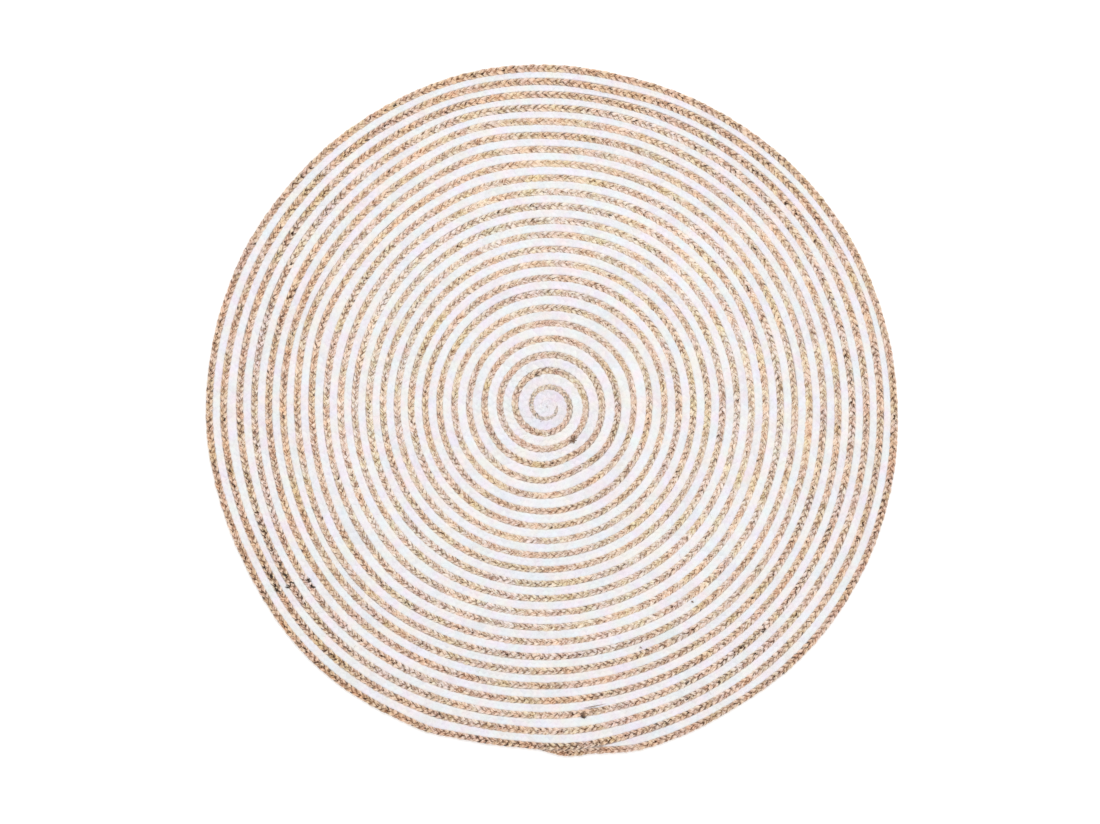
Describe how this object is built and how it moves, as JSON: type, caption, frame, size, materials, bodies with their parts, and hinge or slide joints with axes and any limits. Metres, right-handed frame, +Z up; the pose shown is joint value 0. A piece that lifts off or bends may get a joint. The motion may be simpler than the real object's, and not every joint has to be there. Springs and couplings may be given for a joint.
{
  "type": "round jute rug",
  "caption": "Round flat braided rug: a natural jute braid and a white braid wound side by side in one spiral, sewn edge to edge.",
  "frame": {"origin": "middle of the rug's outline, on the plane of its underside", "axes": "+Z up from the floor; the coil winds outward clockwise seen from above, and both braids end on the rim near -Y"},
  "size_m": [1.5036, 1.504, 0.009],
  "materials": {
    "natural_jute": "matte plaited jute yarn, straw to brown",
    "white_yarn": "matte plaited bleached yarn, white"
  },
  "bodies": {
    "root": {"jute_braid": "natural_jute", "white_braid": "white_yarn"}
  },
  "joints": []
}
